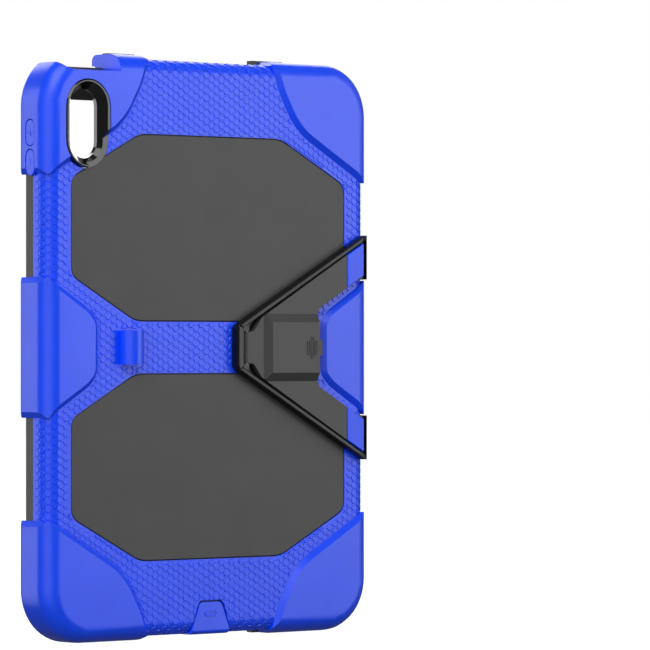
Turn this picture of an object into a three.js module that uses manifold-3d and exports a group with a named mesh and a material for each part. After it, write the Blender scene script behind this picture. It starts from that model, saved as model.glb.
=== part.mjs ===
// Rugged tablet case: hard front frame, hard back shell, silicone skin with corner bumpers, and a
// clip-on kickstand with two legs and a support strut.
// Millimetres. +X is the camera side, +Y is the back, +Z is up. Every piece is drawn about the middle
// of the tablet, and the last group lifts the case so that it stands on z = 0.
import * as THREE from "three";
import { mergeVertices } from "three/addons/utils/BufferGeometryUtils.js";
import Module from "manifold-3d";

const wasm = await Module();
wasm.setup();

// ---------- driving dimensions ----------

const gap = 0.3;                 // between pieces that touch
const tablet = { width: 179.5, height: 248.6, thick: 7.0, corner: 12 };
const tabletFit = 0.3;           // free space round the tablet's edge
const tabletFitThick = 0.1;      // free space at the tablet's front and back
const arcSteps = 7;              // straight steps in a corner arc

const shell = { wall: 2.0, floor: 2.1 };
const frame = { lip: 5.2, skirt: 0.7, bezelX: 9.25, bezelZ: 9.8, chamfer: 3.0, chamferDeep: 2.7, corner: 22 };
const skin = {
  side: 5.4, end: 7.1, back: 2.0, padRise: 2.0, padSlope: 2.7, corner: 23, padCorner: 25, edge: 6, padEdge: 8,
  frontEdge: 3, lipRise: 2.3, lipOver: 5.25,
};

// Features near an edge are placed by their distance in from that edge.
const camera = {
  inSide: 14.65, inTop: 21.6, width: 26, height: 40.7, holeWidth: 16, holeHeight: 32, proud: 0.2, bevel: 3.4,
  bevelDeep: 4.2,
};
const panel = {
  inSide: 13.75, inTop: 35, shoulder: 40.6, shoulderDrop: 21, foot: 38, low: 12.3, waist: 33, round: 4.5,
};
const cornerPad = {
  down: 56.6, shoulderIn: 4.25, kneeIn: 42.75, kneeDown: 35, bendIn: 49.75, bendDown: 28, neckIn: 57.75,
  neckDown: 14, endIn: 61.75, round: 4.5,
};
const midPad = { innerIn: 31.05, innerHalf: 12.5, kneeIn: 26.15, kneeHalf: 18, outerHalf: 32.3, round: 3 };
const scoop = { inFrom: 43.45, inTo: 13.25, deep: 8.4, run: 8, round: 3.5, ledge: 2.5, frameDeep: 6.4 };
const loop = { inSide: 49.75, halfLong: 7.9, bore: 4.6, wall: 1.6, lift: 1.4 };
const speaker = { inset: 3, long: 10, front: -4.5, back: 1.2, narrow: 0.9 };
const ledge = { past: 4.5, front: -8.6, back: -4.4, rise: 0.8, sunk: 0.1 };
const button = { long: 12, wide: 6, sunk: 0.1, travel: 0.8, y: -2.75, fit: 0.35 };
const buttonDown = { volume_up_button: 37.6, volume_down_button: 51.3 };
const plunger = { halfLong: 3, front: -2.5, back: -0.6, reach: 1.0 };
const flap = { topHalf: 6.5, edgeHalf: 11.5, tongue: 14.6, proud: 0.6, gap: 0.7, round: 2 };
const usb = { half: 7, front: -2.6, back: 3.0 };
const anchor = { half: 6, deep: 6.5, thick: 1.4 };
const frontCamera = { half: 10, inSide: 8.7, bevel: 2.6 };
const micHole = { inSide: 7.8, inTop: 30.2, radius: 2.8, bevel: 2.4 };

// The kickstand. Its lengths along X are distances in from the outer face of its hooks.
const clip = {
  apex: 87.05, apexBar: 4.4, apexHalf: 10, outerSlope: 0.543, rimTop: 4.5, floor: 1.1, band: 1.6, edge: 9,
  armEdge: 1.1,
};
const vee = { from: 79.65, half: 11, slope: 0.546 };
const notch = { from: 35.35, half: 18.8, slope: 0.548, edge: 36.85, edgeHalf: 15 };
const hook = { low: 33, high: 54, pastOpening: 3.5, frontThick: 2.0, barWide: 4.3 };
const hinge = { from: 80.05, rise: 2.2, barrel: 1.9, pin: 0.8, bore: 1.05, half: 7.5, lugHalf: 10.3 };
const leg = {
  rise: 1.4, thick: 2.7, ridgeRise: 2.2, ridge: 70.65, ridgeHalf: 16, ridgeSlope: 4, end: 6.65, foot: 17.65,
};
const channel = { from: 73.15, to: 38.05, half: 12.3, roof: 1.2, deep: 66.15 };
const strut = {
  from: 70.05, rise: 1.3, thick: 2.0, half: 9.5, tip: 39.25, barrel: 1.25, pin: 0.6, bore: 0.85, lug: 1.6,
};

// ---------- sizes that follow ----------

const pocketX = tablet.width / 2 + tabletFit;
const pocketZ = tablet.height / 2 + tabletFit;
const pocketY = tablet.thick / 2 + tabletFitThick;
const shellX = pocketX + shell.wall;
const shellZ = pocketZ + shell.wall;
const shellBack = pocketY + shell.floor;
const skinInX = shellX + gap;
const skinInZ = shellZ + gap;
const skinInBack = shellBack + gap;
const baseX = skinInX + skin.side;
const baseZ = skinInZ + skin.end;
const baseBack = skinInBack + skin.back;
const padX = baseX + skin.padRise;
const padZ = baseZ + skin.padRise;
const padBack = baseBack + skin.padRise;
const frameX = baseX - 0.75;
const frameZ = baseZ - 0.8;
const frameInner = -pocketY - gap;
const frameFace = frameInner - frame.lip;
const skirtEnd = frameInner + frame.skirt;
const baseFront = skirtEnd + gap;
const padFront = frameFace - skin.lipRise;
const flapFront = frameFace + gap;
const shellCorner = tablet.corner + tabletFit + shell.wall;
const openX = tablet.width / 2 - frame.bezelX;
const openZ = tablet.height / 2 - frame.bezelZ;
const clipUnder = baseBack + gap;                    // underside of the stand on the case's back
const clipFloor = clipUnder + clip.floor;
const legUnder = clipUnder + leg.rise;
const legTop = legUnder + leg.thick;
const ridgeTop = legTop + leg.ridgeRise;
const hingeY = clipUnder + hinge.rise;
const strutY = clipUnder + strut.rise;
const clipOuter = baseX + gap + clip.band;
const hookFront = frameFace - gap - hook.frontThick;
const far = 40;                                      // beyond every face, for cutting prisms

const cameraX = pocketX - camera.inSide;
const cameraZ = pocketZ - camera.inTop;
const panelX = baseX - panel.inSide;
const panelTop = baseZ - panel.inTop;
const cornerPadZ = padZ - cornerPad.down;
const cornerPadEnd = padX - cornerPad.endIn;
const scoopFrom = padX - scoop.inFrom;
const scoopTo = padX - scoop.inTo;
const scoopFloor = padZ - scoop.deep;
const loopX = padX - loop.inSide;
const speakerFrom = cornerPadEnd + speaker.inset;
const speakerEnd = speakerFrom + speaker.long;
const frontCameraTo = frameX - frontCamera.inSide;
const micX = frameX - micHole.inSide;
const micZ = frameZ - micHole.inTop;
const buttonCentres = Object.fromEntries(
  Object.entries(buttonDown).map(([name, down]) => [name, padZ - down]));

/** X of a stand feature, without its minus sign, from its distance in from the hooks. */
const standX = (distance) => clipOuter - distance;
const apexX = standX(clip.apex);
const apexInnerX = apexX + clip.apexBar;
const veeX = standX(vee.from);
const notchX = standX(notch.from);
const notchEdgeX = standX(notch.edge);
const hookFrontX = openX + hook.pastOpening;
const hingeX = standX(hinge.from);
const ridgeX = standX(leg.ridge);
const legEndX = standX(leg.end);
const footX = standX(leg.foot);
const strutX = standX(strut.from);
const strutTipX = standX(strut.tip);
const channelFromX = standX(channel.from);
const channelToX = standX(channel.to);
const channelDeepX = standX(channel.deep);

const ends = [1, -1];

// ---------- shapes ----------

/** Rounded rectangle about the origin. */
function roundedRect(halfX, halfZ, radius) {
  const shape = new THREE.Shape();
  shape.absarc(halfX - radius, halfZ - radius, radius, 0, Math.PI / 2);
  shape.absarc(radius - halfX, halfZ - radius, radius, Math.PI / 2, Math.PI);
  shape.absarc(radius - halfX, radius - halfZ, radius, Math.PI, 1.5 * Math.PI);
  shape.absarc(halfX - radius, radius - halfZ, radius, 1.5 * Math.PI, 2 * Math.PI);
  return shape;
}

/** Upright stadium, with round ends at top and bottom. */
function stadium(x, z, width, height) {
  const r = width / 2;
  const shape = new THREE.Shape();
  shape.absarc(x, z + height / 2 - r, r, 0, Math.PI);
  shape.absarc(x, z - height / 2 + r, r, Math.PI, 2 * Math.PI);
  return shape;
}

const polygon = (points) => new THREE.Shape(points.map(([x, z]) => new THREE.Vector2(x, z)));

/** Half outline with z >= 0, from apex to tail, closed by its own mirror image. */
const mirrored = (half) => polygon([...half, ...half.slice().reverse().map(([x, z]) => [x, -z])]);

/** Convex outline moved outwards by `grow`, with round corners. */
function roundedOutline(points, radius, grow) {
  const n = points.length;
  const at = (i) => new THREE.Vector2(...points[(i + n) % n]);
  const area = points.reduce((sum, p, i) => {
    const next = points[(i + 1) % n];
    return sum + p[0] * next[1] - next[0] * p[1];
  }, 0);
  const turn = Math.sign(area);
  const outward = (a, b) => new THREE.Vector2(b.y - a.y, a.x - b.x).normalize().multiplyScalar(turn);
  const corners = points.map((_, i) => {
    const before = outward(at(i - 1), at(i));
    const after = outward(at(i), at(i + 1));
    const push = before.clone().add(after);
    return at(i).add(push.multiplyScalar(grow / (1 + before.dot(after))));
  });
  return eased(corners.map((corner) => [corner.x, corner.y, radius]));
}

/** Outline of points [x, z] or [x, z, rounding], whose corners are rounded where a rounding is given. */
function eased(points) {
  const shape = new THREE.Shape();
  const n = points.length;
  const at = (i) => new THREE.Vector2(points[i % n][0], points[i % n][1]);
  points.forEach(([x, z, rounding = 0], i) => {
    const start = at(i).add(at(i + n - 1).sub(at(i)).setLength(rounding));
    const end = at(i).add(at(i + 1).sub(at(i)).setLength(rounding));
    if (i === 0) shape.moveTo(start.x, start.y);
    else shape.lineTo(start.x, start.y);
    if (rounding > 0) shape.quadraticCurveTo(x, z, end.x, end.y);
  });
  shape.closePath();
  return shape;
}

// ---------- solids ----------

/** Closed three.js geometry to a manifold solid. */
function solid(geometry) {
  const bare = geometry.clone();
  bare.deleteAttribute("normal");
  bare.deleteAttribute("uv");
  const welded = mergeVertices(bare, 1e-4);
  const mesh = new wasm.Mesh({
    numProp: 3,
    vertProperties: Float32Array.from(welded.attributes.position.array),
    triVerts: Uint32Array.from(welded.index.array),
  });
  return new wasm.Manifold(mesh);
}

/** X-Z outline made solid between two Y values. */
function slab(shape, y0, y1, steps = arcSteps) {
  const geometry = new THREE.ExtrudeGeometry(shape, {
    depth: y1 - y0, bevelEnabled: false, curveSegments: steps,
  });
  return solid(geometry.translate(0, 0, -y1).rotateX(Math.PI / 2));
}

/** The same with its edges rounded by `edge`, or chamfered when bevelSteps is 1. */
function softSlab(shape, y0, y1, edge, bevelSteps = 3, steps = arcSteps) {
  const geometry = new THREE.ExtrudeGeometry(shape, {
    depth: y1 - y0 - 2 * edge, bevelEnabled: true, bevelSize: edge, bevelThickness: edge, bevelOffset: -edge,
    bevelSegments: bevelSteps, curveSegments: steps,
  });
  return solid(geometry.translate(0, 0, edge - y1).rotateX(Math.PI / 2));
}

/** Block whose walls lean outwards: `shape` at y0, larger by `grow` at y1. */
function flare(shape, y0, y1, grow, steps = arcSteps) {
  const low = Math.min(y0, y1);
  const high = Math.max(y0, y1);
  const geometry = new THREE.ExtrudeGeometry(shape, {
    depth: 0.01, bevelEnabled: true, bevelSize: grow, bevelThickness: high - low, bevelOffset: 0,
    bevelSegments: 1, curveSegments: steps,
  });
  const turned = solid(geometry.translate(0, 0, -y1).rotateX(Math.PI / 2));
  return turned.intersect(box(-4 * far, 4 * far, low, high, -4 * far, 4 * far));
}

/**
 * Closed ring from a stack of outlines with equally many points: each level is [shape, y], and the last
 * level joins back to the first. The outside comes first, from low y to high y, then the inside.
 */
function ring(levels, steps) {
  const loops = levels.map(([shape, y]) => shape.extractPoints(steps).shape.map((p) => [p.x, y, p.y]));
  const n = loops[0].length;
  const index = [];
  loops.forEach((_, level) => {
    const above = ((level + 1) % loops.length) * n;
    for (let i = 0; i < n; i += 1) {
      const next = (i + 1) % n;
      index.push(level * n + i, above + i, level * n + next, above + i, above + next, level * n + next);
    }
  });
  const geometry = new THREE.BufferGeometry();
  geometry.setAttribute("position", new THREE.Float32BufferAttribute(loops.flat(2), 3));
  geometry.setIndex(index);
  return solid(geometry);
}

/** Box between opposite corners. */
function box(x0, x1, y0, y1, z0, z1) {
  const geometry = new THREE.BoxGeometry(x1 - x0, y1 - y0, z1 - z0);
  return solid(geometry.translate((x0 + x1) / 2, (y0 + y1) / 2, (z0 + z1) / 2));
}

/** Round bar along Z. */
function barZ(x, y, radius, z0, z1, sides = 16) {
  const geometry = new THREE.CylinderGeometry(radius, radius, z1 - z0, sides);
  return solid(geometry.rotateX(Math.PI / 2).translate(x, y, (z0 + z1) / 2));
}

const union = (parts) => parts.reduce((all, part) => all.add(part));

const colours = {
  silicone: [0x2f55e8, 0.55], shell: [0x46464a, 0.6], gloss: [0x0c0c0e, 0.2], black: [0x1b1b1d, 0.45],
  steel: [0x9a9ca0, 0.35],
};

/** Named mesh from a manifold solid. */
function piece(name, shapeSolid, look) {
  const mesh = shapeSolid.getMesh();
  const geometry = new THREE.BufferGeometry();
  geometry.setAttribute("position", new THREE.BufferAttribute(Float32Array.from(mesh.vertProperties), 3));
  geometry.setIndex(Array.from(mesh.triVerts));
  geometry.computeVertexNormals();
  const [color, roughness] = colours[look];
  const material = new THREE.MeshStandardMaterial({ color, roughness, metalness: look === "steel" ? 1 : 0 });
  const result = new THREE.Mesh(geometry, material);
  result.name = name;
  return result;
}

// ---------- outlines that several pieces share ----------

/** Raised back panel, on the upper (1) or lower (-1) half. */
function panelOutline(half, grow) {
  const points = [
    [panelX, panel.waist], [panelX, panelTop - panel.shoulderDrop], [panelX - panel.shoulder, panelTop],
    [panel.shoulder - panelX, panelTop], [-panelX, panelTop - panel.shoulderDrop], [-panelX, panel.waist],
    [panel.foot - panelX, panel.low], [panelX - panel.foot, panel.low],
  ];
  return roundedOutline(points.map(([x, z]) => [x, z * half]), panel.round, grow);
}

const cameraOutline = (grow) => stadium(cameraX, cameraZ, camera.width + 2 * grow, camera.height + 2 * grow);

const outside = 5;                                   // how far a bumper's outline runs past the case
const lean = ((padX + outside - baseX) * skin.padSlope) / skin.padRise;

/** Corner of the case that a bumper covers. Its ends lean as its inner edge does. */
function cornerOutline(sx, sz) {
  const points = [
    [padX + outside, cornerPadZ + lean], [baseX, cornerPadZ], [padX - cornerPad.shoulderIn, cornerPadZ],
    [padX - cornerPad.kneeIn, padZ - cornerPad.kneeDown, cornerPad.round],
    [padX - cornerPad.bendIn, padZ - cornerPad.bendDown, cornerPad.round],
    [padX - cornerPad.neckIn, padZ - cornerPad.neckDown, cornerPad.round],
    [cornerPadEnd, baseZ], [cornerPadEnd + lean, padZ + outside], [padX + outside, padZ + outside],
  ];
  return eased(points.map(([x, z, rounding]) => [x * sx, z * sz, rounding]));
}

/** Middle bumper on a long edge. */
function midOutline(sx) {
  const half = [
    [padX - midPad.innerIn, midPad.innerHalf, midPad.round],
    [padX - midPad.kneeIn, midPad.kneeHalf, midPad.round],
    [baseX, midPad.outerHalf], [padX + outside, midPad.outerHalf - lean],
  ];
  const other = half.slice().reverse().map(([x, z, rounding]) => [x, -z, rounding]);
  return eased([...half, ...other].map(([x, z, rounding]) => [x * sx, z, rounding]));
}

/** A bumper's outline made solid. It narrows over the bumper's rise, which makes the sloping inner edge. */
function zone(outline) {
  const geometry = new THREE.ExtrudeGeometry(outline, {
    depth: far, bevelEnabled: true, bevelThickness: skin.padRise + 0.1, bevelSize: skin.padSlope,
    bevelOffset: -skin.padSlope, bevelSegments: 1, curveSegments: 3,
  });
  return solid(geometry.translate(0, 0, -baseBack).rotateX(Math.PI / 2));
}

/** Port flap as seen from the back, down past the bottom edge. */
function flapOutline(grow) {
  const half = [
    [flap.topHalf + grow, flap.tongue - baseZ + grow, flap.round], [flap.edgeHalf + grow, -baseZ + 2],
    [flap.edgeHalf + grow, -far * 4],
  ];
  return eased([...half, ...half.slice().reverse().map(([x, z, rounding]) => [-x, z, rounding])]);
}

const veeInner = (x) => vee.half + vee.slope * (x - veeX);
const veeOuter = (x) => clip.apexHalf + clip.outerSlope * (x - apexX);
const notchLine = (x) => notch.half + notch.slope * (x - notchX);
const veeOuterEnd = apexX + (hook.high - clip.apexHalf) / clip.outerSlope;
const hookSide = (points) => points.map(([x, z]) => [-x, z]);

/** Outer envelope of the skin's base, grown for the pieces that go round it. */
const baseBody = (grow) => softSlab(
  roundedRect(baseX + grow, baseZ + grow, skin.corner + grow), baseFront - skin.edge - grow, baseBack + grow,
  skin.edge + grow, 5);

// ---------- hard layers ----------

/** Skirt tabs of the front frame, which show between the bumpers: [x0, x1, z0, z1]. */
function skirtBlocks() {
  const low = midPad.outerHalf + 0.7;
  const high = cornerPadZ - 2.4;
  const longEdges = ends.flatMap((sx) => ends.map((sz) => [sx * skinInX, sx * padX, sz * low, sz * high]));
  const along = cornerPadEnd - 3;
  const top = [[-along, along, skinInZ, padZ]];
  const bottom = ends.map((sx) => [sx * (flap.edgeHalf + 3.5), sx * along, -skinInZ, -padZ]);
  return [...longEdges, ...top, ...bottom].map(([x0, x1, z0, z1]) => [...ordered(x0, x1), ...ordered(z0, z1)]);
}

/** Where the frame's top edge dips to clear the finger scoop. */
const scoopRoom = (shrink) => box(
  scoopFrom - 4 + shrink, scoopTo + 4 - shrink, -far, far, padZ - scoop.frameDeep + shrink, far * 4);

/** Hard blocks of the frame that show beside the speaker slots, in the bumpers' short edges. */
function ledges(grow) {
  const from = speakerFrom - ledge.past - grow;
  const to = speakerEnd + ledge.past + grow;
  return union(ends.flatMap((sx) => ends.map((sz) => box(
    ...ordered(sx * from, sx * to), ledge.front - grow, ledge.back + grow,
    ...ordered(
      sz * (frameZ - 2), sz * (padZ + (sz > 0 ? ledge.rise : -ledge.sunk) + 2 * grow))))));
}

/** Round cut at the microphone hole, of radius `mouth` just in front of the frame and `end` at y = `to`. */
function bored(mouth, end, to, sides) {
  const start = frameFace - 1;
  const geometry = new THREE.CylinderGeometry(end, mouth, to - start, sides);
  return solid(geometry.rotateY(sides).translate(micX, (to + start) / 2, micZ));
}

/** Bevel round a hole in the frame's face, `wide` across and `deep` into the face. */
function leaning(halfX, halfZ, radius, deep, wide) {
  const steep = wide / deep;
  const inner = roundedRect(halfX - 0.4, halfZ - 0.4, radius - 0.4);
  return flare(inner, frameFace + deep + 0.4 / steep, frameFace - 0.5, 0.4 + wide + 0.5 * steep);
}

function frontFrame() {
  const outline = roundedRect(frameX, frameZ, frame.corner);
  const opening = roundedRect(openX, openZ, 3);
  const mouth = roundedRect(openX + frame.chamfer, openZ + frame.chamfer, 3 + frame.chamfer);
  const plate = ring([
    [outline, frameFace], [outline, frameInner],
    [opening, frameInner], [opening, frameFace + frame.chamferDeep],
    [mouth, frameFace],
  ], arcSteps);
  const skirts = union(skirtBlocks().map(
    ([x0, x1, z0, z1]) => box(x0, x1, frameInner - 0.1, skirtEnd, z0, z1)));
  const body = plate.add(skirts.intersect(slab(roundedRect(frameX, frameZ, frame.corner), -far, far)));
  const cameraNotch = slab(roundedRect(frontCameraTo - openX, frontCamera.half, 2), -far, frameInner + 1)
    .translate([openX, 0, 0]);
  const notchBevel = leaning(frontCameraTo - openX, frontCamera.half, 5, frontCamera.bevel, frontCamera.bevel)
    .translate([openX, 0, 0]);
  const micBore = bored(micHole.radius, micHole.radius, frameInner + 1, 14);
  const bevelTip = frameFace + micHole.bevel + micHole.radius - 0.5;
  const micBevel = bored(micHole.radius + micHole.bevel + 1, 0.5, bevelTip, 17);
  const anchorSeat = box(
    -anchor.half - gap, anchor.half + gap, frameFace - 1, frameFace + anchor.thick + gap,
    -frameZ - 1, -frameZ + anchor.deep + gap);
  return [cameraNotch, notchBevel, micBore, micBevel, anchorSeat, scoopRoom(0)]
    .reduce((left, cut) => left.subtract(cut), body.add(ledges(0)));
}

function backShell() {
  const tray = slab(roundedRect(shellX, shellZ, shellCorner), -pocketY, shellBack);
  const pocket = slab(roundedRect(pocketX, pocketZ, tablet.corner + tabletFit), -pocketY - 1, pocketY);
  const panels = union(ends.map(
    (half) => softSlab(panelOutline(half, 0), pocketY + 0.2, baseBack, 0.4, 1, 4)));
  const under = baseBack - shell.floor;
  const hollows = union(ends.map((half) => slab(panelOutline(half, -shell.wall), pocketY - 1, under, 4)));
  const cameraHole = slab(cameraOutline(gap), -pocketY, far);
  const cameraWall = slab(cameraOutline(gap + shell.wall), pocketY, shellBack);
  const slots = [
    ...ends.flatMap((sx) => ends.map((sz) => box(
      ...ordered(sx * (speakerFrom + speaker.narrow), sx * (speakerEnd - speaker.narrow)),
      speaker.front + speaker.narrow, speaker.back - speaker.narrow,
      ...ordered(sz * (pocketZ - 3), sz * (shellZ + 1))))),
    box(-usb.half, usb.half, usb.front, usb.back, -shellZ - 1, -pocketZ + 3),
    box(scoopFrom + 2, scoopTo - 2, -2.6, 2.6, pocketZ - 3, shellZ + 1),
    ...Object.values(buttonCentres).map((z) => box(
      pocketX - 3, shellX + 1, plunger.front - button.fit, plunger.back + button.fit,
      z - plunger.halfLong - button.fit, z + plunger.halfLong + button.fit)),
  ];
  return slots.reduce(
    (left, cut) => left.subtract(cut),
    tray.subtract(pocket).add(panels).subtract(hollows).add(cameraWall).subtract(cameraHole));
}

function ordered(a, b) {
  return [Math.min(a, b), Math.max(a, b)];
}

function cameraSurround() {
  const top = padBack + camera.proud;
  const outline = (grow) => stadium(
    cameraX, cameraZ, camera.holeWidth + 2 * grow, camera.holeHeight + 2 * grow);
  const whole = ring([
    [cameraOutline(0), pocketY + 0.2], [cameraOutline(0), top - 0.5], [cameraOutline(-0.5), top],
    [outline(camera.bevel), top], [outline(0), top - camera.bevelDeep], [outline(0), pocketY + 0.2],
  ], 10);
  const pastBumper = box(0, cameraX, baseBack + camera.proud, far, 0, baseZ)
    .subtract(zone(cornerOutline(1, 1)));
  return whole.subtract(pastBumper);
}

// ---------- silicone ----------

function buttonHole(z) {
  const opening = stadiumAcross(z, button.fit);
  const deep = box(frameX + gap, far * 4, -far, far, z - far, z + far);
  const slot = box(
    shellX, far * 4, plunger.front - button.fit, plunger.back + button.fit,
    z - plunger.halfLong - button.fit, z + plunger.halfLong + button.fit);
  return opening.intersect(deep).add(slot);
}

/** Stadium prism along X at a volume button. */
function stadiumAcross(z, grow) {
  const shape = stadium(button.y, z, button.wide + 2 * grow, button.long + 2 * grow);
  const geometry = new THREE.ExtrudeGeometry(shape, {
    depth: far * 4, bevelEnabled: false, curveSegments: 6,
  });
  const turned = new THREE.Matrix4().makeBasis(
    new THREE.Vector3(0, 1, 0), new THREE.Vector3(0, 0, 1), new THREE.Vector3(1, 0, 0));
  return solid(geometry.applyMatrix4(turned));
}

function volumeButton(z) {
  const outer = padX - button.sunk;
  const inner = frameX + gap + 0.05 + button.travel;
  const cap = stadiumAcross(z, 0).intersect(box(inner, outer, -far, far, z - far, z + far));
  const stem = box(
    pocketX + plunger.reach, inner + 0.2, plunger.front, plunger.back,
    z - plunger.halfLong, z + plunger.halfLong);
  return cap.add(stem);
}

function stylusLoop() {
  const y = baseBack + loop.lift;
  const outer = loop.bore + loop.wall;
  const band = new THREE.Shape();
  band.moveTo(loopX + outer, baseBack - 0.5);
  band.absarc(loopX, y, outer, 0, Math.PI);
  band.lineTo(loopX - outer, baseBack - 0.5);
  band.lineTo(loopX - loop.bore, baseBack - 0.5);
  band.absarc(loopX, y, loop.bore, Math.PI, 0, true);
  band.lineTo(loopX + loop.bore, baseBack - 0.5);
  const geometry = new THREE.ExtrudeGeometry(band, {
    depth: 2 * loop.halfLong, bevelEnabled: false, curveSegments: 10,
  });
  return solid(geometry.translate(0, 0, -loop.halfLong));
}

/** Finger scoop in the top edge, with a steep end by the bumper and a gentle one by the corner. */
function scoopOutline() {
  return eased([
    [scoopFrom, padZ + 5], [scoopFrom, scoopFloor], [scoopTo, scoopFloor, scoop.round],
    [scoopTo + scoop.run, padZ + 1, scoop.round], [scoopTo + scoop.run + 6, padZ + 5],
  ]);
}

function outerSkin() {
  const base = baseBody(0).intersect(box(-far * 4, far * 4, baseFront, far, -far * 4, far * 4));
  const zones = union([
    ...ends.flatMap((sx) => ends.map((sz) => zone(cornerOutline(sx, sz)))),
    ...ends.map((sx) => zone(midOutline(sx))),
  ]);
  const padOutline = roundedRect(padX, padZ, skin.padCorner);
  const padBody = softSlab(padOutline, padFront - skin.padEdge, padBack, skin.padEdge, 5)
    .intersect(softSlab(padOutline, padFront, padBack + skin.padEdge, skin.frontEdge));
  const solidSkin = base.add(padBody.intersect(zones)).add(stylusLoop());
  const cuts = [
    slab(roundedRect(skinInX, skinInZ, shellCorner + gap), frameInner, skinInBack),
    slab(roundedRect(frameX + gap, frameZ + gap, frame.corner + gap), frameFace - gap, frameInner + gap)
      .subtract(scoopRoom(gap)),
    ledges(gap),
    slab(
      roundedRect(padX - skin.lipOver, padZ - skin.lipOver, skin.padCorner - skin.lipOver), -far, frameFace),
    ...ends.map((half) => slab(panelOutline(half, gap), 0, far, 4)),
    slab(cameraOutline(gap), 0, far),
    slab(scoopOutline(), -far, far),
    box(scoopFrom + 1, scoopTo - 1, -far, scoop.ledge, shellZ, scoopFloor + 1),
    ...ends.flatMap((sx) => ends.map((sz) => box(
      ...ordered(sx * speakerFrom, sx * speakerEnd), speaker.front, speaker.back,
      ...ordered(sz * (shellZ - 1), sz * (padZ + 5))))),
    ...Object.values(buttonCentres).map(buttonHole),
    slab(flapOutline(flap.gap), -far, far),
  ];
  return cuts.reduce((left, cut) => left.subtract(cut), solidSkin);
}

function portFlap() {
  const edge = softSlab(roundedRect(baseX, baseZ + flap.proud, skin.corner), flapFront, baseBack, 2.2)
    .intersect(slab(flapOutline(0), -far, far));
  const inside = slab(roundedRect(skinInX, skinInZ, shellCorner), frameInner - 1, skinInBack);
  const frameRoom = slab(roundedRect(frameX + gap, frameZ + gap, frame.corner), -far, baseFront);
  const plug = box(
    -usb.half + 1, usb.half - 1, usb.front + 1, usb.back - 1, -shellZ - gap - 0.1, -shellZ + 1);
  return edge.subtract(inside).subtract(frameRoom).add(plug);
}

/** Fixed end of the flap's living hinge, let into the face of the front frame. */
function flapAnchor() {
  return box(
    -anchor.half, anchor.half, frameFace - 0.4, frameFace + anchor.thick,
    -frameZ - 0.2, -frameZ + anchor.deep);
}

// ---------- kickstand ----------

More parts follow.
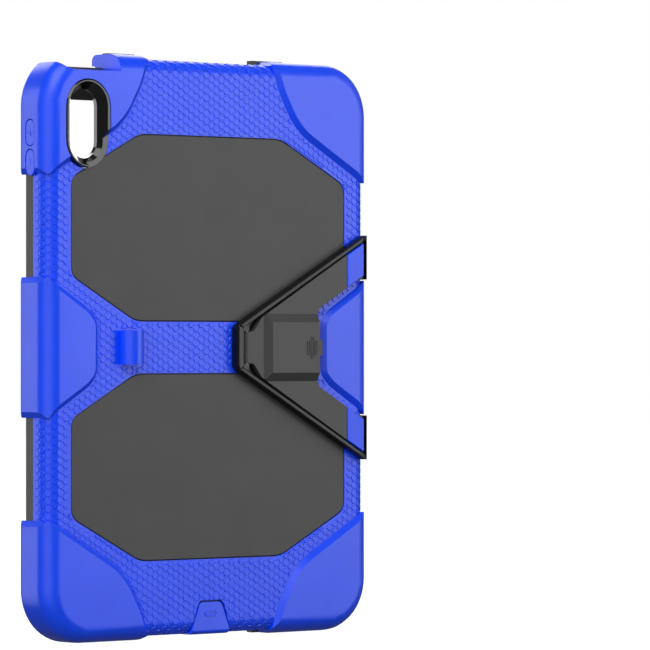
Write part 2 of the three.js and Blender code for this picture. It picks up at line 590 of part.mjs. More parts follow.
function standClip() {
  const edge = clipOuter;
  const outline = mirrored(hookSide([
    [apexX, clip.apexHalf - 1.5], [apexX + 1.2, veeOuter(apexX + 1.2)], [veeOuterEnd, hook.high],
    [edge, hook.high], [edge, hook.low], [notchX + (hook.low - notch.half) / notch.slope, hook.low - 0.6],
    [notchX, notch.half - 0.5], [notchEdgeX + 0.4, notch.edgeHalf],
  ]));
  const window = mirrored(hookSide([
    [strutX - strut.barrel - 0.3, strut.half + 0.2], [footX - 4, veeInner(footX - 4) - 3.5],
    [footX - 2, notchLine(footX - 2) + 4], [notchEdgeX + 4.2, notchLine(notchEdgeX + 4.2) + 4],
    [channelToX - 0.2, notch.edgeHalf + 1],
  ]));
  const floor = slab(outline, clipUnder, clipFloor).subtract(slab(window, -far, far));
  const bars = ends.map((side) => polygon(hookSide([
    [apexInnerX - 1, veeInner(apexInnerX - 1)], [apexX + 1.2, veeOuter(apexX + 1.2)],
    [edge + 8, veeOuter(edge + 8)], [edge + 8, veeInner(edge + 8)],
  ]).map(([x, z]) => [x, z * side])));
  const apex = mirrored(hookSide([
    [apexX, clip.apexHalf - 1.5], [apexX + 1.2, veeOuter(apexX + 1.2)], [apexInnerX, veeInner(apexInnerX)],
  ]));
  const arms = union([...bars, apex].map((shape) => softSlab(
    shape, clipUnder - clip.armEdge, clipUnder + clip.rimTop, clip.armEdge)))
    .intersect(box(-edge, 0, -far, far, -hook.high, hook.high));
  const hooks = union(ends.map((side) => {
    const [z0, z1] = ordered(side * hook.low, side * hook.high);
    const profile = roundedRect((edge - hookFrontX) / 2, (clipUnder + clip.rimTop - hookFront) / 2, 2.5);
    const geometry = new THREE.ExtrudeGeometry(profile, {
      depth: z1 - z0, bevelEnabled: false, curveSegments: 3,
    });
    return solid(geometry.translate(-(edge + hookFrontX) / 2, (clipUnder + clip.rimTop + hookFront) / 2, z0));
  }));
  const slope = new THREE.BoxGeometry(20, 20, 3 * hook.high).rotateZ(Math.PI / 4);
  const hookRoom = box(-edge + 3.6, 0, clipFloor, far, -hook.high, hook.high)
    .add(solid(slope.translate(-edge - 1.8, clipFloor + 14, 0)))
    .subtract(arms);
  const frontBar = box(
    -hookFrontX - hook.barWide, -hookFrontX - 0.2, hookFront + 0.3, frameFace, -hook.low - 1, hook.low + 1);
  const caseRoom = union([
    baseBody(gap).intersect(box(-far * 4, far * 4, baseFront - gap, far, -far * 4, far * 4)),
    slab(roundedRect(frameX + gap, frameZ, frame.corner), frameFace - gap, baseFront),
    box(-hookFrontX - 3, far, -5, clipUnder, -far * 4, far * 4),
  ]);
  const lugs = union(ends.flatMap((side) => [
    barZ(-hingeX, hingeY, hinge.barrel, ...ordered(side * (hinge.half + gap), side * hinge.lugHalf)),
    box(-hingeX, -apexInnerX + 1, clipUnder, hingeY + hinge.barrel,
      ...ordered(side * (hinge.half + gap), side * hinge.lugHalf)),
    barZ(-strutX, strutY, strut.barrel,
      ...ordered(side * (strut.half + gap), side * (strut.half + gap + strut.lug))),
    box(-strutX, -strutX + 3, clipUnder, clipFloor,
      ...ordered(side * (strut.half + gap), side * (strut.half + gap + strut.lug))),
  ]));
  const web = mirrored(hookSide([
    [hingeX + hinge.barrel + 0.6, veeInner(hingeX + 3)],
    [strutX - strut.barrel - 0.3, veeInner(strutX) - 1]]));
  const envelope = softSlab(
    roundedRect(edge, baseZ, clip.edge + 1), -far, clipUnder + clip.rimTop, clip.edge, 5);
  const body = floor.add(arms).add(hooks.subtract(hookRoom)).add(frontBar).subtract(caseRoom)
    .intersect(envelope)
    .intersect(slab(mirrored(hookSide([
      [apexX - 5, veeOuter(apexX - 5)], [edge + 5, veeOuter(edge + 5)]])), -far, far));
  return body
    .subtract(box(-hingeX - hinge.barrel - gap, -apexInnerX, -far, far, -hinge.half - gap, hinge.half + gap))
    .add(slab(web, clipUnder, clipFloor)).add(lugs)
    .subtract(barZ(-hingeX, hingeY, hinge.bore, -far, hinge.lugHalf - 1.2))
    .subtract(barZ(-strutX, strutY, strut.bore, -far, strut.half + gap + strut.lug - 0.6));
}

const edgeGap = 0.55;                                // between the legs and the clip's arms

function legOutline(end) {
  return mirrored(hookSide([
    [hingeX, hinge.half], [hingeX + 2.6, hinge.half], [hingeX + 4, hinge.half + 1],
    [ridgeX - 1, veeInner(ridgeX - 1) - edgeGap - 0.6], [end, veeInner(end) - edgeGap],
    [end, notchLine(end)], [notchX, notch.half], [notchEdgeX, notch.edgeHalf],
  ]));
}

/** Ends of the two legs, between the feet's inner face and the leg's end. */
const footOutline = (side, from, inset) => polygon(hookSide([
  [from, veeInner(from) - edgeGap - inset], [legEndX - inset, veeInner(legEndX - inset) - edgeGap - inset],
  [legEndX - inset, notchLine(legEndX - inset) + inset], [from, notchLine(from) + inset],
]).map(([x, z]) => [x, z * side]));

const tongueY = [legUnder + 0.85, legUnder + 1.85];

function standLegs() {
  const plate = slab(legOutline(footX), legUnder, legTop);
  const barrel = barZ(-hingeX, hingeY, hinge.barrel, -hinge.half, hinge.half);
  const link = box(-hingeX - 4, -hingeX, legUnder + 0.1, hingeY + 1.2, 0.1 - hinge.half, hinge.half - 0.1);
  const ridge = ridgeWedge().intersect(slab(legOutline(footX), -far, far));
  const tab = box(-notchEdgeX - 3.8, -notchEdgeX + 2, legUnder + 0.6, legTop - 0.3, -3.8, 3.8);
  const tongues = union(ends.map((side) => slab(footOutline(side, footX - 2, 2.6), ...tongueY)));
  const hollow = union([
    box(-channelToX, -channelFromX, -far, legTop - channel.roof, -channel.half, channel.half),
    box(-channelToX, -channelDeepX, -far, ridgeTop - 1.4, -channel.half, channel.half),
  ]);
  return union([plate.add(ridge), tab, tongues]).subtract(hollow)
    .subtract(barZ(-hingeX, hingeY, hinge.barrel, -hinge.half, hinge.half)).add(barrel).add(link)
    .subtract(barZ(-hingeX, hingeY, hinge.bore, -far, far));
}

/** Raised middle of the leg plate: a block with sloping front and sides. */
function ridgeWedge() {
  const wedge = flare(
    polygon(hookSide([
      [ridgeX + leg.ridgeSlope, leg.ridgeHalf - leg.ridgeSlope],
      [notchEdgeX + 9, leg.ridgeHalf - leg.ridgeSlope],
      [notchEdgeX + 9, leg.ridgeSlope - leg.ridgeHalf],
      [ridgeX + leg.ridgeSlope, leg.ridgeSlope - leg.ridgeHalf],
    ])), ridgeTop, legTop - 0.5, leg.ridgeSlope * (leg.ridgeRise + 0.5) / leg.ridgeRise);
  return wedge.intersect(box(-notchEdgeX, 0, 0, far, -far, far));
}

function foot(side) {
  return slab(footOutline(side, footX + gap, 0), legUnder, legTop + 0.2)
    .subtract(slab(footOutline(side, footX - 3, 2.3), tongueY[0] - gap, tongueY[1] + gap));
}

function supportStrut() {
  const half = strut.thick / 2;
  const plate = box(-strutTipX, -strutX, strutY - half, strutY + half, -strut.half, strut.half);
  const tip = barZ(-strutTipX, strutY, half, -strut.half, strut.half);
  const barrel = barZ(-strutX, strutY, strut.barrel, -strut.half, strut.half);
  return union([plate, tip, barrel]).subtract(barZ(-strutX, strutY, strut.bore, -far, far));
}

// ---------- the case ----------

const caseGroup = new THREE.Group();
caseGroup.add(
  piece("front_frame", frontFrame(), "shell"),
  piece("back_shell", backShell(), "shell"),
  piece("camera_surround", cameraSurround(), "gloss"),
  piece("outer_skin", outerSkin(), "silicone"),
  piece("port_flap", portFlap(), "silicone"),
  piece("flap_anchor", flapAnchor(), "silicone"),
  ...Object.entries(buttonCentres).map(([name, z]) => piece(name, volumeButton(z), "silicone")),
  piece("stand_clip", standClip(), "black"),
  piece("stand_legs", standLegs(), "shell"),
  piece("upper_foot", foot(1), "silicone"),
  piece("lower_foot", foot(-1), "silicone"),
  piece("leg_hinge_pin",
    barZ(-hingeX, hingeY, hinge.pin, -hinge.lugHalf + 0.1, hinge.lugHalf - 1.5), "steel"),
  piece("support_strut", supportStrut(), "shell"),
  piece("strut_pin", barZ(-strutX, strutY, strut.pin, -strut.half - 1.6, strut.half + 1), "steel"),
);

const bounds = new THREE.Box3().setFromObject(caseGroup);
const middle = bounds.getCenter(new THREE.Vector3());
caseGroup.position.set(-middle.x, -middle.y, -bounds.min.z);

const group = new THREE.Group();
group.add(caseGroup);
group.updateMatrixWorld(true);

export default group;
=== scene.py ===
"""Looks of a rugged tablet case: silicone skin with a honeycomb relief, hard shell, and folding stand.

Lengths are in millimetres about the middle of the case (X towards the camera side, Y out of the back,
Z up along the long side), and place() turns them into metres in the frame's own axes.
"""

import math

import bmesh
import bpy
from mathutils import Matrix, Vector


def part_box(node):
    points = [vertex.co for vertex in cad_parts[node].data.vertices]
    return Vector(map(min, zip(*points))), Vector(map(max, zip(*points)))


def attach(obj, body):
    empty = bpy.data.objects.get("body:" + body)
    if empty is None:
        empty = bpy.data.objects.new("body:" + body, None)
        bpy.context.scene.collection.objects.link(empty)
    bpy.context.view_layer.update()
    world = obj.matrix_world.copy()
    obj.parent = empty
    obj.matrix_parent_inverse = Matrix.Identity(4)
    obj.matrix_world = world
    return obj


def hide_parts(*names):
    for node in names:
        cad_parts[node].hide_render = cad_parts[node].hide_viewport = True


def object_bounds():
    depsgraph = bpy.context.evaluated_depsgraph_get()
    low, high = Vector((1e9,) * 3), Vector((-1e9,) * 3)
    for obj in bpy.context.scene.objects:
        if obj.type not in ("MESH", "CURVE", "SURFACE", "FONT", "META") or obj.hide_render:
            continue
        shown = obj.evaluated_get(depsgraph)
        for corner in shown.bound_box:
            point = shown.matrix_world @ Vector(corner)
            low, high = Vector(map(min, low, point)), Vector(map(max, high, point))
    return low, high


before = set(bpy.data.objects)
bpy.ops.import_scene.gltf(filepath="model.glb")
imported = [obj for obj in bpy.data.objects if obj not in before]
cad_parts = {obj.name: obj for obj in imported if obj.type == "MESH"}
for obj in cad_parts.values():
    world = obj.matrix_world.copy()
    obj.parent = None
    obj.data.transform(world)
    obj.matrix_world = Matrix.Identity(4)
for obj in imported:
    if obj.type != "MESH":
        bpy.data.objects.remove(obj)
cad_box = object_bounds()

MM = 0.001

# ---------- sizes, in mm, that the pieces below share ----------

skin_low, skin_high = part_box("outer_skin")
PAD_FRONT = -11.4                                    # front face of the bumpers
PAD_RISE = 2.0                                       # bumpers over the skin's base
MIDDLE = Vector((
    (skin_low.x + skin_high.x) / 2,
    skin_low.y - PAD_FRONT * MM,
    skin_low.z + 136.0 * MM,
))


def at(node):
    """Lowest and highest corner of a CAD node, in mm about the middle of the case."""
    low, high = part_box(node)
    return (low - MIDDLE) / MM, (high - MIDDLE) / MM


def place(x, y, z):
    return MIDDLE + Vector((x, y, z)) * MM


PAD_X = at("outer_skin")[1].x
PAD_Z = -at("outer_skin")[0].z
BASE_X = PAD_X - PAD_RISE
BASE_Z = PAD_Z - PAD_RISE
BASE_BACK = at("back_shell")[1].y                    # panels and skin base are flush
BASE_FRONT = -2.9
EDGE = 6.0                                           # rounding from the back into the walls
HEX_PITCH = 3.6                                      # across the flats, with half a groove each side
HEX_GROOVE = 0.5
HEX_RISE = 0.34
HEX_BEVEL = 0.24
HEX_SUNK = 0.25                                      # how far a tile reaches into the skin
SMALLEST_TILE = 0.45                                 # from a tile's middle to its nearest edge
RELIEF_SHORT = 0.6                                   # the relief ends before the base's front does
LAST_TILE = 1.6                                      # from the relief's end to the last tile's middle
CORNER_CLEAR = 20                                    # the double curve at a corner takes no tiles
PANEL_GAP = 0.75                                     # bare skin beside a panel, bumper, camera or trim
BUMPER_GAP = 0.35
CAMERA_GAP = 0.6
TRIM_GAP = 0.3
PAST_EDGE = 30                                       # bumper and flap outlines run out past the skin
PANEL_IN_SIDE = 13.75                                # panel windows, in from the base's edges
PANEL_IN_TOP = 35
PANEL_SHOULDER = 40.6
PANEL_DROP = 21
PANEL_KNEE = 33
PANEL_FOOT = 38
PANEL_LOW = 12.3
PANEL_ROUND = 4.5
CORNER_DOWN = 56.6                                   # corner bumpers, down from the top
FLAP_HALF = 11.9
FLAP_KNEE = 2
FLAP_TOP = 15
FLAP_TOP_HALF = 7.1
MARK_SUNK = 0.3                                      # raised marks start below the face
MARK_RIM = 0.12                                      # and are rounded off at the top
MARK_STEP = 0.6                                      # share of a mark's height where its rim starts
BUTTON_MARK = (0.35, 1.6)                            # half the width and half the length of a stroke

# ---------- materials ----------


def new_material(name, colour, roughness, metallic=0.0):
    """A Principled material, its node tree, and its shader."""
    material = bpy.data.materials.new(name)
    material.use_nodes = True
    material.diffuse_color = (*colour, 1)
    tree = material.node_tree
    shader = tree.nodes["Principled BSDF"]
    shader.inputs["Base Color"].default_value = (*colour, 1)
    shader.inputs["Roughness"].default_value = roughness
    shader.inputs["Metallic"].default_value = metallic
    return material, tree, shader


def noise(tree, scale, detail=3.0, stretch=(1, 1, 1)):
    """Noise over the object's own coordinates, which are in metres."""
    coordinates = tree.nodes.new("ShaderNodeTexCoord")
    mapping = tree.nodes.new("ShaderNodeMapping")
    mapping.inputs["Scale"].default_value = stretch
    texture = tree.nodes.new("ShaderNodeTexNoise")
    texture.inputs["Scale"].default_value = scale
    texture.inputs["Detail"].default_value = detail
    tree.links.new(coordinates.outputs["Object"], mapping.inputs["Vector"])
    tree.links.new(mapping.outputs["Vector"], texture.inputs["Vector"])
    return texture.outputs["Fac"]


def ramp(tree, value, stops):
    """Colour ramp of (position, colour) stops."""
    node = tree.nodes.new("ShaderNodeValToRGB")
    elements = node.color_ramp.elements
    while len(elements) < len(stops):
        elements.new(0.5)
    for element, (position, colour) in zip(elements, stops):
        element.position = position
        element.color = (*colour, 1)
    tree.links.new(value, node.inputs["Fac"])
    return node.outputs["Color"]


def bump(tree, shader, height, strength, distance):
    node = tree.nodes.new("ShaderNodeBump")
    node.inputs["Strength"].default_value = strength
    node.inputs["Distance"].default_value = distance
    tree.links.new(height, node.inputs["Height"])
    tree.links.new(node.outputs["Normal"], shader.inputs["Normal"])


def moulded(name, colour, roughness, grain, depth, spread=0.08, gloss_spread=0.06, coat=0.0):
    """Moulded plastic or rubber: slight mottling, uneven gloss, and a fine surface grain."""
    material, tree, shader = new_material(name, colour, roughness)
    darker = tuple(c * (1 - spread) for c in colour)
    lighter = tuple(c * (1 + spread) for c in colour)
    mottle = noise(tree, 90, 4)
    tree.links.new(ramp(tree, mottle, [(0.35, darker), (0.65, lighter)]), shader.inputs["Base Color"])
    smear = noise(tree, 35, 2)
    dull = (roughness + gloss_spread,) * 3
    glossy = (roughness - gloss_spread,) * 3
    tree.links.new(ramp(tree, smear, [(0.3, glossy), (0.7, dull)]), shader.inputs["Roughness"])
    bump(tree, shader, noise(tree, grain, 2), 0.5, depth)
    shader.inputs["Coat Weight"].default_value = coat
    shader.inputs["Coat Roughness"].default_value = 0.12
    return material


def steel():
    material, tree, shader = new_material("ground_steel", (0.55, 0.56, 0.58), 0.3, 1.0)
    rings = noise(tree, 900, 2, (1, 1, 12))
    tree.links.new(ramp(tree, rings, [(0.3, (0.42,) * 3), (0.7, (0.62,) * 3)]), shader.inputs["Base Color"])
    bump(tree, shader, rings, 0.3, 0.00002)
    return material


BLUE = (0.002, 0.066, 0.98)
silicone = moulded("silicone", BLUE, 0.33, 2600, 0.000006, 0.02, 0.015)
silicone.node_tree.nodes["Principled BSDF"].inputs["Specular IOR Level"].default_value = 0.6
foot_blue = moulded("foot_rubber", BLUE, 0.36, 1800, 0.000006, 0.02, 0.015)
shell_grey = moulded("shell_plastic", (0.05, 0.05, 0.05), 0.48, 3800, 0.00003, 0.03, 0.01)
stand_grey = moulded("stand_plastic", (0.05, 0.05, 0.05), 0.46, 3800, 0.00003, 0.03, 0.01)
stand_black = moulded("stand_satin", (0.004, 0.004, 0.004), 0.32, 3000, 0.00002, 0.15)
gloss_black = moulded("gloss_ring", (0.002, 0.002, 0.002), 0.1, 1500, 0.000004, 0.1, 0.03, 0.6)
pin_steel = steel()

# ---------- making pieces ----------


def make_object(name, mesh, material):
    mesh.materials.clear()
    mesh.materials.append(material)
    piece = bpy.data.objects.new(name, mesh)
    bpy.context.scene.collection.objects.link(piece)
    return piece


def object_from(name, bm, material):
    mesh = bpy.data.meshes.new(name)
    bm.to_mesh(mesh)
    bm.free()
    return make_object(name, mesh, material)


def settle(piece, width, segments, crease=30, rounding=20):
    """Rounds edges sharper than `crease` degrees by `width` mm, and shades the rest smoothly."""
    if width > 0:
        bevel = piece.modifiers.new("rounding", "BEVEL")
        bevel.width = width * MM
        bevel.segments = segments
        bevel.limit_method = "ANGLE"
        bevel.angle_limit = math.radians(crease)
        bevel.use_clamp_overlap = True
        bevel.miter_outer = "MITER_ARC"
    bpy.context.view_layer.objects.active = piece
    for other in bpy.context.selected_objects:
        other.select_set(False)
    piece.select_set(True)
    for modifier in list(piece.modifiers):
        bpy.ops.object.modifier_apply(modifier=modifier.name)
    bpy.ops.object.shade_smooth_by_angle(angle=math.radians(crease + rounding))
    weighted = piece.modifiers.new("flat faces stay flat", "WEIGHTED_NORMAL")
    weighted.keep_sharp = True
    weighted.weight = 100
    bpy.ops.object.modifier_apply(modifier=weighted.name)


def refined(node, body, material, width=0.3, segments=2, crease=30):
    """A finer copy of a CAD node, with rounded edges, that stands in for it."""
    bm = bmesh.new()
    bm.from_mesh(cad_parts[node].data)
    bmesh.ops.remove_doubles(bm, verts=bm.verts, dist=0.000002)
    bmesh.ops.dissolve_degenerate(bm, dist=0.00001, edges=bm.edges)
    bmesh.ops.dissolve_limit(bm, angle_limit=math.radians(0.6), verts=bm.verts, edges=bm.edges)
    piece = object_from(node + "_surface", bm, material)
    settle(piece, width, segments, crease)
    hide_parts(node)
    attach(piece, body)


# ---------- honeycomb relief ----------


def rounded(points, radius, steps=4):
    """Convex outline with its corners rounded."""
    result = []
    for i, corner in enumerate(points):
        corner = Vector(corner)
        before = (Vector(points[i - 1]) - corner).normalized() * radius
        after = (Vector(points[(i + 1) % len(points)]) - corner).normalized() * radius
        for k in range(steps + 1):
            t = k / steps
            result.append(corner + before * (1 - t) ** 2 + after * t * t)
    return result


def window_outline(half):
    """Opening in the skin round a shell panel, on the upper (1) or lower (-1) half."""
    x = BASE_X - PANEL_IN_SIDE
    top = BASE_Z - PANEL_IN_TOP
    points = [
        (x, PANEL_KNEE), (x, top - PANEL_DROP), (x - PANEL_SHOULDER, top), (PANEL_SHOULDER - x, top),
        (-x, top - PANEL_DROP), (-x, PANEL_KNEE), (PANEL_FOOT - x, PANEL_LOW), (x - PANEL_FOOT, PANEL_LOW),
    ]
    return rounded([(u, v * half) for u, v in points], PANEL_ROUND)


def corner_outline(sx, sz):
    """Corner bumper on one side (1 or -1) and end (1 or -1)."""
    low = PAD_Z - CORNER_DOWN
    far_x, far_z = PAD_X + PAST_EDGE, PAD_Z + PAST_EDGE
    points = [
        (far_x, low), (PAD_X - 4.25, low), (57, 101), (50, 108), (42, 122), (38, BASE_Z), (38, far_z),
        (far_x, far_z),
    ]
    return rounded([(u * sx, v * sz) for u, v in points], 4)


def middle_outline(sx):
    """Middle bumper on one side (1 or -1)."""
    half = [(PAD_X - 31.05, 12.5), (PAD_X - 26.15, 18), (BASE_X, 32.3), (PAD_X + PAST_EDGE, 32.3)]
    points = half + [(u, -v) for u, v in reversed(half)]
    return rounded([(u * sx, v) for u, v in points], 2)


def camera_outline():
    low, high = at("camera_surround")
    radius = (high.x - low.x) / 2
    x = (low.x + high.x) / 2
    arc = [math.pi * i / 12 for i in range(13)]
    upper = [Vector((x + radius * math.cos(a), high.z - radius + radius * math.sin(a))) for a in arc]
    lower = [Vector((x - radius * math.cos(a), low.z + radius - radius * math.sin(a))) for a in arc]
    return upper + lower


def loop_outline():
    """Foot of the stylus loop."""
    x0, x1, half = 43.4, 56.6, 8.5
    return [Vector((x0, -half)), Vector((x1, -half)), Vector((x1, half)), Vector((x0, half))]


def flap_outline():
    """Charging port flap, which narrows towards its top."""
    foot, knee, top = -BASE_Z - PAST_EDGE, FLAP_KNEE - BASE_Z, FLAP_TOP - BASE_Z
    return [
        Vector((-FLAP_HALF, foot)), Vector((FLAP_HALF, foot)), Vector((FLAP_HALF, knee)),
        Vector((FLAP_TOP_HALF, top)), Vector((-FLAP_TOP_HALF, top)), Vector((-FLAP_HALF, knee)),
    ]


def half_planes(outline):
    """(point, outward normal) of each edge of a convex outline."""
    middle = sum(outline, Vector((0, 0))) / len(outline)
    planes = []
    for a, b in zip(outline, outline[1:] + outline[:1]):
        if (b - a).length > 1e-6:
            normal = Vector((b.y - a.y, a.x - b.x)).normalized()
            planes.append((a, normal if normal.dot(a - middle) > 0 else -normal))
    return planes


def cut(polygon, point, normal):
    """The part of a convex polygon on the side that the normal points to."""
    kept = []
    for a, b in zip(polygon, polygon[1:] + polygon[:1]):
        da = normal.dot(a - point)
        db = normal.dot(b - point)
        if da >= 0:
            kept.append(a)
        if (da > 0) != (db > 0) and abs(da - db) > 1e-9:
            kept.append(a + (b - a) * (da / (da - db)))
    return kept


def tile_at(centre, obstacles):
    """Hexagon about a centre, cut back from each obstacle, or an empty list."""
    reach = (HEX_PITCH - HEX_GROOVE) / math.sqrt(3)
    angles = [math.pi / 3 * i for i in range(6)]
    polygon = [centre + Vector((math.cos(a), math.sin(a))) * reach for a in angles]
    for planes, margin in obstacles:
        distance, point, normal = max(
            ((n.dot(centre - p), p, n) for p, n in planes), key=lambda found: found[0])
        if distance < reach + margin:
            polygon = cut(polygon, point + normal * margin, normal)
        if len(polygon) < 3:
            return []
    return polygon


def wrapped(value, half):
    """Where a length over the back and round its edge falls: along, down, and the face's lean."""
    flat = half - EDGE
    over = abs(value) - flat
    if over <= 0:
        return value, 0.0, 0.0
    angle = min(over / EDGE, math.pi / 2)
    beyond = max(0.0, over - EDGE * math.pi / 2)
    side = math.copysign(1, value)
    return side * (flat + EDGE * math.sin(angle)), EDGE * (1 - math.cos(angle)) + beyond, side * angle


def on_skin(point, height):
    """Point of the base surface under (u, v), raised by `height`."""
    x, down_x, lean_x = wrapped(point.x, BASE_X)
    z, down_z, lean_z = wrapped(point.y, BASE_Z)
    out = Vector((math.sin(lean_x), math.cos(lean_x) * math.cos(lean_z), math.sin(lean_z)))
    return place(*(Vector((x, BASE_BACK - down_x - down_z, z)) + out * height))


def add_tile(bm, polygon):
    """Raised, bevelled tile. Slivers left by the cutting are skipped."""
    centre = sum(polygon, Vector((0, 0))) / len(polygon)
    inner = min(abs(n.dot(centre - p)) for p, n in half_planes(polygon))
    if inner < SMALLEST_TILE:
        return
    shrink = max(0.3, 1 - HEX_BEVEL / inner)
    rings = [(1.0, -HEX_SUNK), (1.0, HEX_RISE * 0.35), (shrink, HEX_RISE)]
    loops = [
        [bm.verts.new(on_skin(centre + (p - centre) * scale, height)) for p in polygon]
        for scale, height in rings
    ]
    n = len(polygon)
    for low, high in zip(loops, loops[1:]):
        for i in range(n):
            bm.faces.new((low[i], low[(i + 1) % n], high[(i + 1) % n], high[i]))
    bm.faces.new(loops[-1])


def honeycomb():
    """Every tile on the base between the panels and bumpers, over the back and round onto the walls."""
    bottom = EDGE * math.pi / 2 - EDGE
    side_end = BASE_X + bottom + (BASE_BACK - EDGE - BASE_FRONT) - RELIEF_SHORT
    end_end = BASE_Z + bottom + (BASE_BACK - EDGE - BASE_FRONT) - RELIEF_SHORT
    obstacles = [(half_planes(window_outline(half)), PANEL_GAP) for half in (1, -1)]
    obstacles += [(half_planes(corner_outline(sx, sz)), BUMPER_GAP) for sx in (1, -1) for sz in (1, -1)]
    obstacles += [(half_planes(middle_outline(sx)), BUMPER_GAP) for sx in (1, -1)]
    obstacles.append((half_planes(camera_outline()), CAMERA_GAP))
    obstacles.append((half_planes(loop_outline()), TRIM_GAP))
    obstacles.append((half_planes(flap_outline()), TRIM_GAP))
    step = HEX_PITCH * math.sqrt(3) / 2
    columns = math.ceil(side_end / step)
    rows = math.ceil(end_end / HEX_PITCH)
    bm = bmesh.new()
    for i in range(-columns, columns + 1):
        for j in range(-rows, rows + 1):
            centre = Vector((i * step, (j + (i % 2) / 2) * HEX_PITCH))
            in_corner = abs(centre.x) > BASE_X - CORNER_CLEAR and abs(centre.y) > BASE_Z - CORNER_CLEAR
            past_end = abs(centre.x) > side_end - LAST_TILE or abs(centre.y) > end_end - LAST_TILE
            if past_end or in_corner:
                continue
            polygon = tile_at(centre, obstacles)
            if len(polygon) >= 3:
                add_tile(bm, polygon)
    bmesh.ops.recalc_face_normals(bm, faces=bm.faces)
    piece = object_from("skin_honeycomb", bm, silicone)
    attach(piece, "case")


# ---------- small raised marks ----------


def pill(half_long, half_wide, steps=8):
    """Outline with round ends, long in its second direction."""
    straight = half_long - half_wide
    arc = [math.pi * i / steps for i in range(steps + 1)]
    upper = [(half_wide * math.cos(a), straight + half_wide * math.sin(a)) for a in arc]
    lower = [(-half_wide * math.cos(a), -straight - half_wide * math.sin(a)) for a in arc]
    return upper + lower


def inset(outline, by):
    """Outline scaled about its middle so that its furthest points come in by `by` mm."""
    width = max(abs(u) for u, _ in outline)
    length = max(abs(v) for _, v in outline)
    return [(u * (1 - by / width), v * (1 - by / length)) for u, v in outline]


def raised(name, body, material, marks, across, up, height):
    """Marks standing `height` mm out of a face. Each is a centre, an outline and, for a ring, its wall."""
    out = Vector(up).cross(Vector(across)) * -1
    bm = bmesh.new()
    for centre, outline, wall in marks:
        step = height * MARK_STEP
        levels = [(outline, -MARK_SUNK), (outline, step), (inset(outline, MARK_RIM), height)]
        if wall:
            inside = inset(outline, wall)
            levels += [(inset(outline, wall - MARK_RIM), height), (inside, step), (inside, -MARK_SUNK)]
        loops = [
            [bm.verts.new(place(*(Vector(centre) + Vector(across) * u + Vector(up) * v + out * lift)))
             for u, v in points]
            for points, lift in levels
        ]
        n = len(outline)
        for low, high in zip(loops, loops[1:]):
            for i in range(n):
                bm.faces.new((low[i], low[(i + 1) % n], high[(i + 1) % n], high[i]))
        if not wall:
            bm.faces.new(loops[-1])
    bmesh.ops.recalc_face_normals(bm, faces=bm.faces)
    piece = object_from(name, bm, material)
    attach(piece, body)


def bar(half_across, half_up):
    """Outline of one stroke of a button's mark."""
    return [
        (half_across, -half_up), (half_across, half_up), (-half_across, half_up), (-half_across, -half_up),
    ]


# ---------- the case ----------

refined("outer_skin", "case", silicone, 0.35, 2)
honeycomb()
refined("back_shell", "case", shell_grey, 0.3, 2)
refined("front_frame", "case", shell_grey, 0.3, 2)
refined("camera_surround", "case", gloss_black, 0.25, 3)
refined("flap_anchor", "case", silicone, 0.3, 2)
refined("port_flap", "flap", silicone, 0.35, 2)
refined("volume_up_button", "volume_up", silicone, 0.3, 3)
refined("volume_down_button", "volume_down", silicone, 0.3, 3)
refined("stand_clip", "case", stand_black, 0.35, 2)
refined("stand_legs", "legs", stand_grey, 0.3, 2, 20)
refined("upper_foot", "legs", foot_blue, 0.5, 3)
refined("lower_foot", "legs", foot_blue, 0.5, 3)
refined("leg_hinge_pin", "case", pin_steel, 0.1, 2)
refined("support_strut", "strut", stand_grey, 0.3, 2)
refined("strut_pin", "case", pin_steel, 0.1, 2)

ridge_top = at("stand_legs")[1].y
raised("leg_grip_ribs", "legs", stand_grey, [
    ((-55.6, ridge_top, 0), pill(3.6, 0.95), 0.55),
    ((-57.9, ridge_top, 0), pill(5.4, 0.95), 0.55),
    ((-60.2, ridge_top, 0), pill(3.6, 0.95), 0.55),
], (-1, 0, 0), (0, 0, 1), 0.35)
raised("flap_pull", "flap", silicone, [
    ((0, BASE_BACK, -124.8), [(v, u) for u, v in pill(3.8, 1.35)], 0.7),
], (-1, 0, 0), (0, 0, 1), 0.4)
stroke = bar(*BUTTON_MARK)
cross_stroke = bar(*reversed(BUTTON_MARK))
for node, marks in (("volume_up_button", [stroke, cross_stroke]), ("volume_down_button", [stroke])):
    low, high = at(node)
    face = (high.x, (low.y + high.y) / 2, (low.z + high.z) / 2)
    raised(node + "_mark", node.replace("_button", ""), silicone,
           [(face, mark, 0) for mark in marks], (0, 1, 0), (0, 0, 1), 0.2)

# ---------- stage, lights and camera ----------


def floor():
    """Pale floor that meets the white background without a line, and throws no light on the case."""
    bm = bmesh.new()
    bmesh.ops.create_grid(bm, x_segments=2, y_segments=2, size=4)
    material, _, shader = new_material("floor", (0.2, 0.2, 0.2), 0.8)
    shader.inputs["Emission Color"].default_value = (1, 1, 1, 1)
    shader.inputs["Emission Strength"].default_value = 1.05
    shader.inputs["Specular IOR Level"].default_value = 0.0
    piece = object_from("floor", bm, material)
    piece.location.z = cad_box[0][2] - 0.0003
    piece.visible_diffuse = False
    piece.visible_glossy = False


def soft_box(name, direction, distance, size, power, target, sheen=True, fill=True):
    """Area light aimed at the case, which may feed only the sheen or only the diffuse light."""
    light = bpy.data.lights.new(name, "AREA")
    light.shape = "RECTANGLE"
    light.size, light.size_y = size
    light.energy = power
    lamp = bpy.data.objects.new(name, light)
    bpy.context.scene.collection.objects.link(lamp)
    way = Vector(direction).normalized()
    lamp.visible_camera = False
    lamp.visible_diffuse = fill
    lamp.visible_glossy = sheen
    lamp.location = target + way * distance
    lamp.rotation_euler = (-way).to_track_quat("-Z", "Y").to_euler()


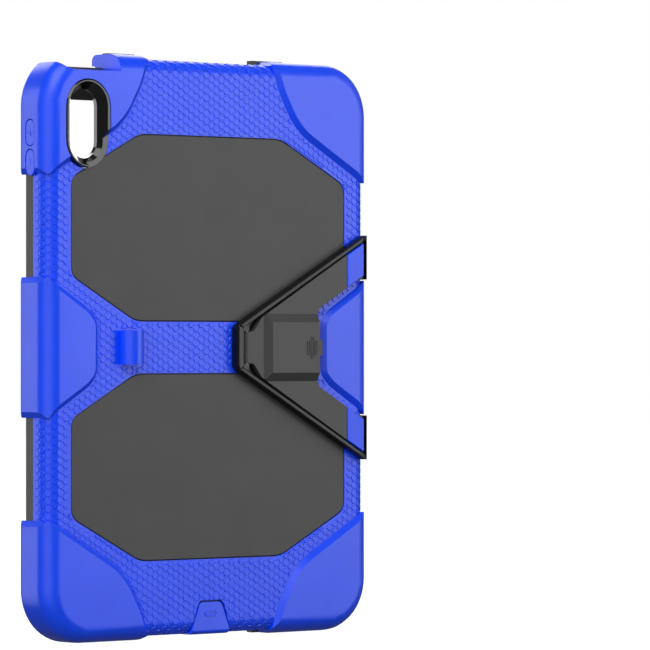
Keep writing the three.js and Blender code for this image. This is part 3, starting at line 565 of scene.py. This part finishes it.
def studio(target):
    """White background that lights the case only a little, and soft boxes that do the rest."""
    world = bpy.data.worlds.new("studio")
    world.use_nodes = True
    tree = world.node_tree
    dim = tree.nodes["Background"]
    dim.inputs["Color"].default_value = (1, 1, 1, 1)
    dim.inputs["Strength"].default_value = 0.13
    seen = tree.nodes.new("ShaderNodeBackground")
    seen.inputs["Color"].default_value = (1, 1, 1, 1)
    mix = tree.nodes.new("ShaderNodeMixShader")
    tree.links.new(tree.nodes.new("ShaderNodeLightPath").outputs["Is Camera Ray"], mix.inputs[0])
    tree.links.new(dim.outputs[0], mix.inputs[1])
    tree.links.new(seen.outputs[0], mix.inputs[2])
    tree.links.new(mix.outputs[0], tree.nodes["World Output"].inputs["Surface"])
    bpy.context.scene.world = world
    soft_box("back_light", (-0.66, 0.75, 0.03), 1.2, (0.72, 1.0), 5.0, target, fill=False)
    soft_box("side_light", (0.68, -0.73, 0.03), 1.2, (0.5, 1.2), 4.6, target, fill=False)
    soft_box("top_light", (0.45, 0.6, 0.95), 1.2, (0.9, 0.9), 7, target)
    soft_box("near_fill", (0.82, 0.57, 0.1), 1.3, (1.4, 1.4), 13, target, sheen=False)
    soft_box("left_fill", (-0.9, 0.4, 0.2), 1.3, (1.2, 1.2), 9, target, sheen=False)
    soft_box("front_light", (-0.4, -0.75, 0.5), 1.4, (1.3, 1.3), 16, target)


def camera(azimuth, elevation, distance, lens, across, up):
    """Camera about the case, aimed off its middle by `across` and `up` metres."""
    data = bpy.data.cameras.new("camera")
    data.lens = lens
    data.sensor_width = 36
    data.clip_end = 50
    viewer = bpy.data.objects.new("camera", data)
    bpy.context.scene.collection.objects.link(viewer)
    a, e = math.radians(azimuth), math.radians(elevation)
    way = Vector((math.sin(a) * math.cos(e), -math.cos(a) * math.cos(e), math.sin(e)))
    right = Vector((math.cos(a), math.sin(a), 0))
    middle = (Vector(cad_box[0]) + Vector(cad_box[1])) / 2
    viewer.location = middle + way * distance
    aim = middle + right * across + Vector((0, 0, up))
    viewer.rotation_euler = (aim - viewer.location).to_track_quat("-Z", "Y").to_euler()
    bpy.context.scene.camera = viewer


floor()
studio((Vector(cad_box[0]) + Vector(cad_box[1])) / 2)
camera(139.7, 0, 2.25, 264.6, 0.0575, 0.0102)
bpy.context.scene.view_settings.view_transform = "Standard"
